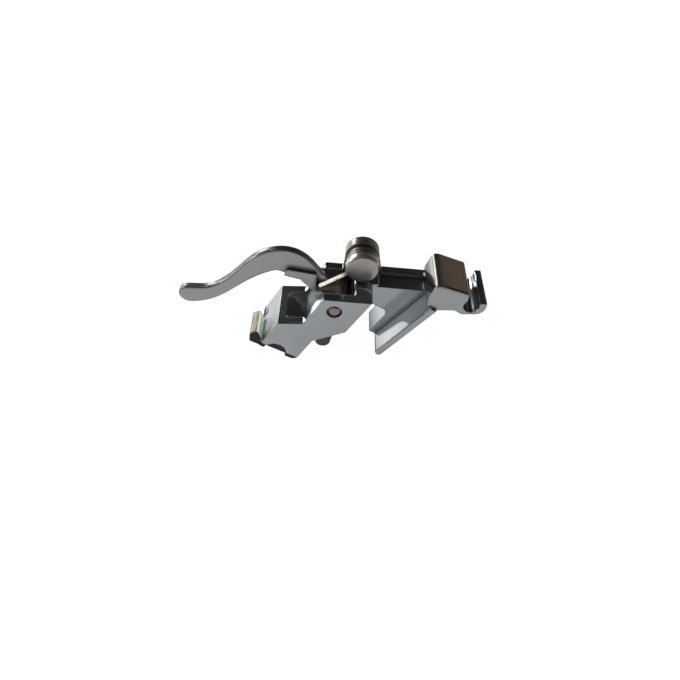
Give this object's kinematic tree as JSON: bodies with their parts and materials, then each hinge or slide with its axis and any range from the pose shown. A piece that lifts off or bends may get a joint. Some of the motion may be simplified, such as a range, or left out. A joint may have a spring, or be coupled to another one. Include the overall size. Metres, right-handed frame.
{
  "type": "presser foot adapter",
  "caption": "Plated presser foot adapter: a leaning clamp head with a sprung S-shaped lever, a slotted shank with a guide flange, and a hook for the foot's cross pin.",
  "frame": {"origin": "axis of the foot's cross pin in its hook, at mid-width", "axes": "+X along the body from the lever to the hook, Y across the width, +Z out of the hook's mouth"},
  "size_m": [0.0501, 0.0092, 0.0218],
  "materials": {
    "plated_body": "bright nickel-chrome plate",
    "satin_lever": "plated, satin face and bright edge",
    "spring_wire": "drawn wire",
    "pin_steel": "ground pin, riveted",
    "turned_steel": "turned, flat matt face"
  },
  "bodies": {
    "frame": {"body": "plated_body", "pivot_pin": "pin_steel", "spring_post": "turned_steel", "lever_spring": "spring_wire"},
    "lever": {"lever": "satin_lever"}
  },
  "joints": [
    {"name": "lever_pivot", "type": "hinge", "parent": "frame", "child": "lever", "pos_m": [-0.0218, 0, -0.00115], "axis": [0, 1, 0], "range_deg": [0, 20], "stiffness_Nm_per_rad": 0.03, "springref_deg": -28.65, "deforming": ["lever_spring"]}
  ]
}
